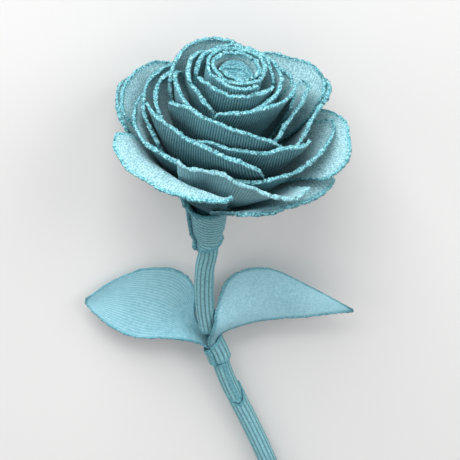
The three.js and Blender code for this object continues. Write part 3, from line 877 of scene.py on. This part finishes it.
def paper(name, dark, middle, light, speckle, groove_shade_strength=0.8, groove_shade_inside=0.3, cut_edge=1.0, depth_shade_strength=0.74,
          inner_painted_light=0.62, ridge_highlight=0.2, cuts=PALE_CUT):
    """Ribbed crepe paper: painted shade in the grooves between ribs and a painted highlight on their ridges,
    strongest on its outer face; heathered flecks; painted light on the inner face; tufted cut edges. side is 0
    on the outer face and 1 on the inner one, edge is 1 at a cut edge, rib counts the ribs, and the fourth
    attribute is painted shade that grows towards the depth of the flower, and below 0 painted light."""
    m = Nodes(name)
    place_on = m.tree.nodes.new("ShaderNodeTexCoord").outputs["Object"]
    side, edge, rib, painted_shading = (m.attribute(label) for label in ("side", "edge", "rib", "painted_shading"))
    fine, coarse, cloud, loops, tufts = (m.noise(place_on, *grain) for grain in GRAINS)
    outward = m.without(side)
    wave = m.math("ABSOLUTE", m.math("SINE", m.times(rib, math.pi)))

    # The heathered face, with painted light that makes the inner face lighter
    base = m.mix(m.ramp(cloud, *CLOUD_TONES), dark, middle)
    base = m.mix(m.ramp(coarse, *COARSE_TONES), base, middle)
    fleck = m.times(m.ramp(fine, *FINE_FLECKS), m.ramp(coarse, *COARSE_FLECKS))
    base = m.mix(m.times(fleck, m.math("ADD", m.times(side, speckle / 2), speckle / 2)), base, light)
    base = m.mix(m.times(side, inner_painted_light), base, light)
    share = m.times(m.math("ADD", m.times(side, LOOPS_MORE_INSIDE), LOOPS_OUTSIDE), speckle)
    base = m.mix(share, base, m.mix(m.ramp(loops, *LOOP_TONES), dark, light))

    # The ribs: painted highlight on the ridges and painted shade in the grooves, which stop short of the cut
    # edges
    base = m.mix(m.times(m.math("POWER", wave, RIDGE_HIGHLIGHT_POWER), m.times(outward, ridge_highlight)), base, RIDGE_HIGHLIGHT)
    strength = m.math("ADD", m.times(outward, 1.0 - groove_shade_inside), groove_shade_inside)
    groove_shade = m.times(m.times(m.without(m.math("POWER", wave, GROOVE_SHADE_POWER)), strength), m.without(edge))
    base = m.mix(m.times(groove_shade, groove_shade_strength), base, darker(dark, GROOVE_SHADE_TONE))

    # The cut edges
    cut = m.mix(m.ramp(tufts, *MIDDLE_TUFTS), cuts[0], cuts[1])
    cut = m.mix(m.ramp(tufts, *PALE_TUFTS), cut, cuts[2])
    outer_band = m.times(m.ramp(edge, *OUTER_BAND), outward)
    inner_band = m.times(m.ramp(edge, *INNER_BAND), side)
    band = m.math("ADD", outer_band, inner_band)
    base = m.mix(m.times(band, cut_edge), base, cut)

    # Painted light on one petal, and painted shade towards the depth of the flower
    base = m.mix(m.times(m.ramp(painted_shading, *PAINTED_LIGHT_RAMP), PAINTED_LIGHT_SHARE), base, light)
    shade = m.times(m.times(m.ramp(painted_shading, *DEPTH_SHADE_RAMP), depth_shade_strength), m.without(side, DEPTH_SHADE_SPARES_INSIDE))
    base = m.mix(shade, base, darker(dark, DEPTH_SHADE_TONE))

    bump = m.tree.nodes.new("ShaderNodeBump")
    bump.inputs["Strength"].default_value = BUMP
    bump.inputs["Distance"].default_value = BUMP_DEPTH
    m.link(m.math("ADD", fine, m.times(coarse, COARSE_BUMP)), bump.inputs["Height"])
    m.surface(Base_Color=base, Roughness=0.92, Specular_IOR_Level=0.1, Sheen_Weight=0.05, Sheen_Roughness=0.5,
              Normal=bump.outputs["Normal"])
    return m.material


petal_paper = paper("petal_paper", rgb(50, 115, 128), rgb(96, 167, 180), rgb(192, 233, 240), 0.9)
# A darker copy of the petal paper, painted shade for the bud's eye and its fold
shaded_eye_paper = paper("shaded_eye_paper", rgb(34, 90, 104), rgb(68, 130, 143), rgb(150, 208, 217), 0.9, inner_painted_light=0.0)
leaf_paper = paper("leaf_paper", rgb(114, 172, 188), rgb(153, 205, 218), rgb(194, 230, 237), 0.42,
                   groove_shade_strength=0.32, cut_edge=0.7, inner_painted_light=0.1, ridge_highlight=0.05, cuts=DARK_CUT)
stem_paper = paper("stem_paper", rgb(52, 112, 125), rgb(96, 165, 177), rgb(160, 214, 222), 0.6,
                   groove_shade_inside=0.9, cut_edge=0.6, ridge_highlight=0.1, cuts=DARK_CUT)
core_paper = paper("core_paper", rgb(38, 94, 106), rgb(64, 126, 139), rgb(120, 178, 188), 0.6, groove_shade_strength=0.0)
rod_wood = paper("rod_wood", rgb(34, 78, 88), rgb(56, 106, 117), rgb(98, 148, 157), 0.5, groove_shade_strength=0.0)

# Stations from a petal's foot to its rim, closest together at the frayed rim
STATIONS = np.concatenate([
    np.linspace(0, 0.5, 9),
    np.linspace(0.525, 0.95, 25),
    [0.965, 0.976, 0.985, 0.993, 1.0],
])


def rib_shares(width, pitch=RIB_PITCH):
    """Shares of a width at which a ribbed sheet has points, as a row, and how many ribs it has."""
    count = max(6, round(width / pitch))
    shares = (np.arange(count)[:, None] + np.array(RIB_STATIONS)).ravel() / count
    return np.append(shares, 1.0)[None, :], count


def finish_piece(piece, node=None):
    """The piece belongs to the root body and stands in for a solid, if there is one for it."""
    if node:
        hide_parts(node)
    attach(piece, "root")


def build_petals():
    """Each petal is pressed clear of those inside it on a coarse net, as in the part, and then dressed."""
    coarse_s = np.linspace(0, 1, PETAL_COLUMNS + 1)[None, :]
    coarse_t = np.linspace(0, 1, PETAL_ROWS + 1)[:, None]
    t = STATIONS[:, None]
    placed = []
    for number, petal in enumerate(stack_petals(), 1):
        coarse = petal_surface(petal, coarse_s, coarse_t)
        push = press_out(coarse, placed)
        coarse[..., 1] += push
        placed.append(coarse)
        s, ribs = rib_shares(2 * petal["half"])
        trimmed = TRIMMED_TO if number == TRIMMED_PETAL else 0
        kept = trimmed + (1 - trimmed) * s + 0 * t
        net = petal_surface(petal, kept, t + 0 * s)
        net[..., 1] += spread(push, kept, t + 0 * s)
        net[..., 1] += wavy(2 * s, 2 * t, 4, FACE_SEED + number) * FACE_WAVE * t**2
        net[..., 2] += RIM_WAVE * wavy(4 * s, t, 3, RIM_SEED + number) * t**3
        name = f"petal_{number:02d}"
        # Painted shade darkens each petal towards its foot; one petal has painted light in its place
        painted_shading = (PAINTED_LIGHT_LEVEL if number == PAINTED_LIGHT_PETAL else 1 - t) + 0 * s
        piece = sheet_piece(f"{name}_paper", from_axis(net), petal_paper, s * ribs, seed=number, painted_shading=painted_shading)
        finish_piece(piece, name)


def build_bud():
    """One strip rolled round the core, opened a little at its inner rim."""
    s, ribs = rib_shares(2 * math.pi * BUD_OUTER_RADIUS * BUD_TURNS)
    t = STATIONS[:, None]
    angle = BUD_START + 360 * s * BUD_TURNS + 0 * t
    opened = (EYE_RIM - BUD_INNER_RADIUS) * (1 - s) * t**3
    net = np.stack([angle, bud_radius(s, t) + opened, BUD_FOOT + (BUD_RIM - BUD_FOOT) * t + 0 * s], -1)
    net[..., 1] += BUD_WAVE * wavy(9 * s, t, 4, 54) * t**2
    net[..., 2] += BUD_RIM_WAVE * wavy(12 * s, t, 4, 55) * t**2
    piece = sheet_piece("bud_paper", from_axis(net), petal_paper, s * ribs, seed=50)
    finish_piece(piece, "bud_roll")


def build_eye():
    """The inner end of the bud's strip is folded over the core and fills the eye."""
    s = np.linspace(0, 1, EYE_COLUMNS)[None, :]
    t = np.linspace(EYE_HOLE, 1, EYE_ROWS)[:, None]
    angle = 360 * s + 0 * t
    height = EYE_HEIGHT + EYE_DISH * t**2 + EYE_TILT * t * np.sin(np.radians(angle))
    height = height + EYE_CREASE * wavy(6 * s * (1 - s), 3 * t, 4, 52)
    net = np.stack([angle, EYE_RADIUS * t + 0 * s, height], -1)
    piece = sheet_piece("bud_eye_paper", from_axis(net), shaded_eye_paper, 0.5 + 0 * s, edges="", seed=51,
                        rib_height=0.0, painted_shading=EYE_PAINTED_SHADE)
    finish_piece(piece)

    s, ribs = rib_shares(EYE_RADIUS * math.radians(FOLD_SPAN))
    t = np.linspace(0, 1, FOLD_ROWS)[:, None]
    angle = FOLD_MIDDLE + FOLD_SPAN * (s - 0.5) + 0 * t
    radius = EYE_RADIUS * (FOLD_NEAR + FOLD_OPENING * np.abs(2 * s - 1) ** FOLD_BEND) + FOLD_LEAN * t
    height = EYE_HEIGHT + EYE_TILT * 0.5 * np.sin(np.radians(angle)) + FOLD_HEIGHT * t
    net = np.stack([angle, radius, height], -1)
    piece = sheet_piece("bud_fold_paper", from_axis(net), shaded_eye_paper, s * ribs, edges="t", seed=53,
                        swell=SOFT_SWELL)
    finish_piece(piece)


def build_strips():
    """The strips wrapped lengthwise round the stem, and the one over the leaves' feet."""
    s, ribs = rib_shares(2 * math.pi * WRAP_OUTER, STEM_RIB_PITCH)
    stem_end = -STEM_LENGTH + STEM_RISE + ROD_BARE
    over_wraps = WRAP_INNER + LAYER + GAP
    strips = {
        "stem_wrap_upper": (UPPER_WRAP_TOP, UPPER_WRAP_END, WRAP_INNER, UPPER_SEAM, 0, 0, SLANT_HIGHEST, 60),
        "stem_wrap_middle": (NODE_BOTTOM - NODE_TO_WRAP, WRAP_JOINT, WRAP_INNER, MIDDLE_SEAM, 0, SLANT,
                             SLANT_HIGHEST, 30),
        "stem_wrap_lower": (WRAP_JOINT - GAP, stem_end, WRAP_INNER, LOWER_SEAM, SLANT, 0, SLANT_HIGHEST, 90),
        "node_wrap": (NODE_TOP, NODE_BOTTOM, over_wraps, NODE_SEAM, NODE_SLANT, 0, NODE_HIGHEST, 30),
    }
    for number, (node, strip) in enumerate(strips.items()):
        start, end, inner, seam, start_slant, end_slant, highest, rows = strip
        t = np.linspace(0, 1, rows)[:, None]
        angle = seam + s * (360 + WRAP_LAP)
        tilt = np.cos(np.radians(angle - highest))
        height = (start + start_slant * tilt) * (1 - t) + (end + end_slant * tilt) * t
        net = beside_stem(height, angle, inner + SHEET / 2 + (LAYER * s * (360 + WRAP_LAP)) / 360)
        piece = sheet_piece(f"{node}_paper", net, stem_paper, s * ribs, edges="rbt", seed=STRIP_SEED + number,
                            swell=STRIP_SWELL, fibres=FEW_FIBRES_PER_MM)
        finish_piece(piece, node)


def build_sleeve():
    """A flared rim, a neck that narrows to a waist, and a hem that closes on the stem's strip."""
    s = np.linspace(0, 1, SLEEVE_COLUMNS)[None, :]
    t = np.linspace(0, 1, SLEEVE_ROWS)[:, None]
    ribs = SLEEVE_LENGTH / STEM_RIB_PITCH
    angle = SLEEVE_SEAM - (1 - s) * (360 + SLEEVE_LAP)
    depth = t * (SLEEVE_LENGTH + HEM_SLANT * np.sin(np.radians(angle - HEM_TURN)))
    to_hem = SLEEVE_LENGTH - SLEEVE_WAIST_DEPTH - SLEEVE_HEM
    closing = np.clip((depth - SLEEVE_WAIST_DEPTH) / to_hem, 0, 1)
    narrowing = SLEEVE_NECK + (SLEEVE_WAIST - SLEEVE_NECK) * depth / SLEEVE_WAIST_DEPTH
    closed = SLEEVE_WAIST + (WRAP_OUTER + GAP + SHEET / 2 - SLEEVE_WAIST) * closing**2 * (3 - 2 * closing)
    body = np.where(depth < SLEEVE_WAIST_DEPTH, narrowing, closed)
    around = (angle - LIP_MIDDLE + 540) % 360 - 180
    lip = LIP_FLARE * np.exp(-((around / LIP_SPAN) ** 2))
    flare = (SLEEVE_RIM - SLEEVE_NECK) * (1 + lip) * np.exp(-depth / FLARE_DEPTH)
    net = beside_stem(SLEEVE_TOP - depth, angle, body + flare + LAYER * s * (360 + SLEEVE_LAP) / 360)
    phase = t * ribs - s * SLEEVE_RIB_SLANT
    piece = sheet_piece("calyx_paper", net, stem_paper, phase, edges="lrbt", seed=70,
                        rib_height=SLEEVE_RIB_HEIGHT)
    finish_piece(piece, "calyx_sleeve")


def build_leaves():
    """Two leaves whose ribs run from the foot to the tip."""
    for number, leaf in enumerate(LEAVES):
        s, ribs = rib_shares(LEAF_WIDTH)
        net = leaf_net(leaf, s[0], np.linspace(0, 1, LEAF_ROWS))
        piece = sheet_piece(f"{leaf}_paper", net, leaf_paper, s * ribs, edges="lrt", seed=LEAF_SEED + number,
                            swell=SOFT_SWELL, fibres=FEW_FIBRES_PER_MM)
        finish_piece(piece, leaf)


def build_camera():
    """The camera looks at the laid rose as the photographer looked at the upright one."""
    tilt = math.radians(CAMERA_PITCH)
    look = np.array([0, math.cos(tilt), -math.sin(tilt)])
    up = np.array([0, math.sin(tilt), math.cos(tilt)])
    right = np.array([1.0, 0, 0])
    half = PICTURE / 2
    target = right * (half - NECK_PIXEL[0]) * MM_PER_PIXEL - up * (half - NECK_PIXEL[1]) * MM_PER_PIXEL
    data = bpy.data.cameras.new("camera")
    data.lens = SENSOR * (CAMERA_DISTANCE / MM_PER_PIXEL) / PICTURE
    data.sensor_width = SENSOR
    camera = bpy.data.objects.new("camera", data)
    matrix = np.eye(4)
    matrix[:3, :3] = np.stack([LAID @ right, LAID @ up, -LAID @ look], 1)
    matrix[:3, 3] = place((target - CAMERA_DISTANCE * look)[None])[0]
    camera.matrix_world = Matrix(matrix.tolist())
    bpy.context.scene.collection.objects.link(camera)
    bpy.context.scene.camera = camera


def build_floor():
    """A wide pale table top."""
    mesh = bpy.data.meshes.new("floor")
    corners = [(x * FLOOR_REACH, y * FLOOR_REACH, 0) for x, y in ((-1, -1), (1, -1), (1, 1), (-1, 1))]
    mesh.from_pydata(corners, [], [(0, 1, 2, 3)])
    floor = bpy.data.objects.new("floor", mesh)
    bpy.context.scene.collection.objects.link(floor)
    look = Nodes("floor")
    look.surface(Base_Color=FLOOR_COLOUR, Roughness=0.9, Specular_IOR_Level=0.1)
    mesh.materials.append(look.material)


def build_lights():
    """Soft lights round the table and an even pale sky."""
    for name, where, power in LIGHTS:
        data = bpy.data.lights.new(name, "AREA")
        data.shape = "SQUARE"
        data.size = LIGHT_SIZE
        data.energy = power
        light = bpy.data.objects.new(name, data)
        light.location = where
        light.rotation_euler = (Vector(LIGHTS_AIM) - Vector(where)).to_track_quat("-Z", "Y").to_euler()
        bpy.context.scene.collection.objects.link(light)
    world = bpy.data.worlds.new("studio")
    world.use_nodes = True
    background = world.node_tree.nodes["Background"]
    background.inputs["Color"].default_value = SKY
    background.inputs["Strength"].default_value = SKY_STRENGTH
    bpy.context.scene.world = world
    bpy.context.scene.view_settings.view_transform = "Standard"


build_petals()
build_bud()
build_eye()
build_strips()
build_sleeve()
build_leaves()
for node, material in (("flower_core", core_paper), ("stem_rod", rod_wood)):
    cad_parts[node].material_slots[0].material = material
build_camera()
build_floor()
build_lights()
